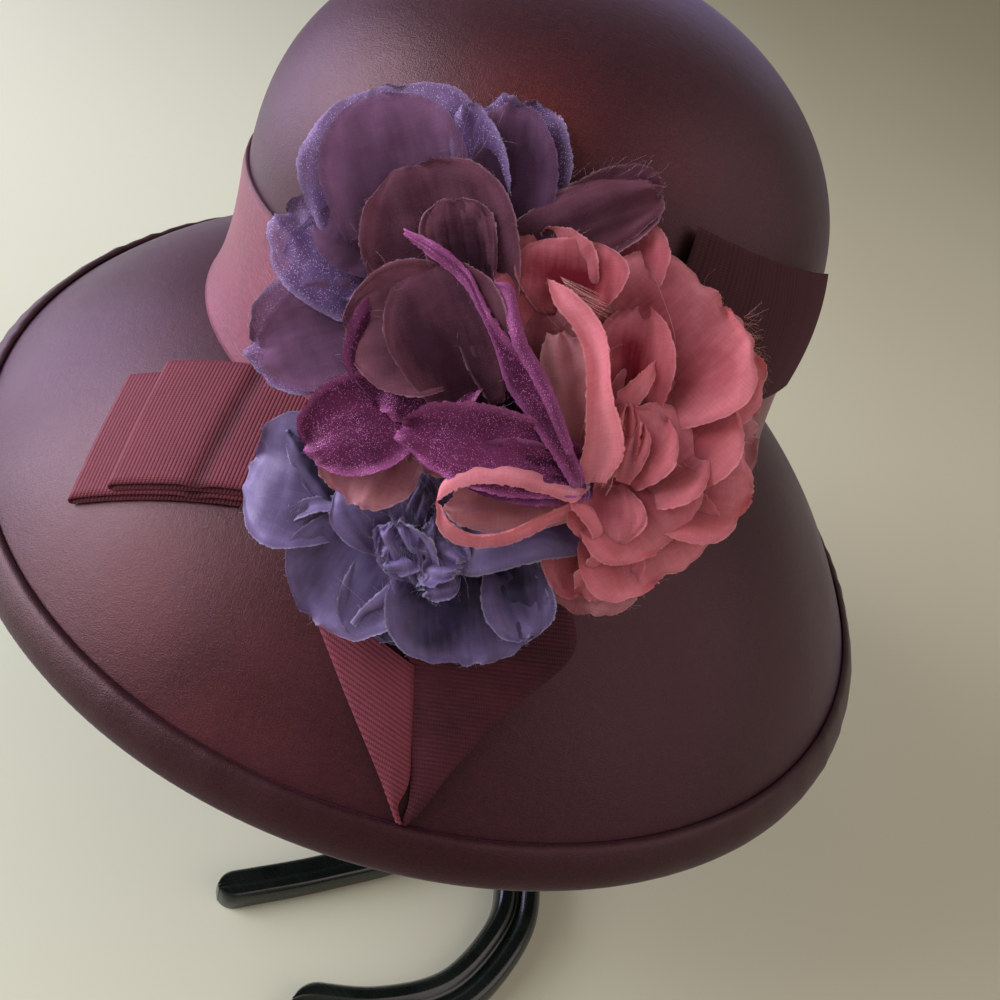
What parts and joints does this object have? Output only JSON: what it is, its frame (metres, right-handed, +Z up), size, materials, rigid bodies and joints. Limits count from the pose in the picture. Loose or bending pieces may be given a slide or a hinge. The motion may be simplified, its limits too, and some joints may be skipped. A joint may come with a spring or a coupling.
{
  "type": "church hat on a stand",
  "caption": "Formal satin hat with a domed oval crown, a down-sloping brim with a padded edge, ribbed ribbon trim and a corsage of cloth flowers, on a plain stand.",
  "frame": {"origin": "on the table, under the middle of the crown, at the centre of the hub's flat underside", "axes": "+Z up, X along the oval crown's long axis, -Y towards the side that carries the flowers"},
  "size_m": [0.3568, 0.334, 0.3293],
  "materials": {
    "satin": "shot satin, dark plum with violet and copper sheen",
    "binding": "padded bias strip of the same satin",
    "band": "bias strip of the same satin, rosier where it faces the light",
    "grosgrain": "ribbed matte ribbon",
    "purple_organza": "sheer glinting organza",
    "plum_chiffon": "matte plum chiffon, pleated",
    "magenta_organza": "shiny crumpled organza",
    "pink_chiffon": "soft coral pink chiffon with frayed edges",
    "pale_chiffon": "thin see-through beige pink chiffon",
    "blue_satin": "blue violet satin with soft highlights",
    "frayed_thread": "fine loose threads along the petals' edges",
    "stand_plastic": "glossy black green moulded plastic"
  },
  "bodies": {
    "root": {"crown": "satin", "brim": "satin", "brim_binding": "binding", "hat_band": "band", "side_loop_lower": "grosgrain", "side_loop_upper": "grosgrain", "front_point": "grosgrain", "crown_point": "grosgrain", "flower_purple": "purple_organza", "flower_pink": "pink_chiffon", "flower_blue": "blue_satin", "stand_base": "stand_plastic", "stand_post": "stand_plastic", "stand_rest": "stand_plastic"}
  },
  "joints": []
}
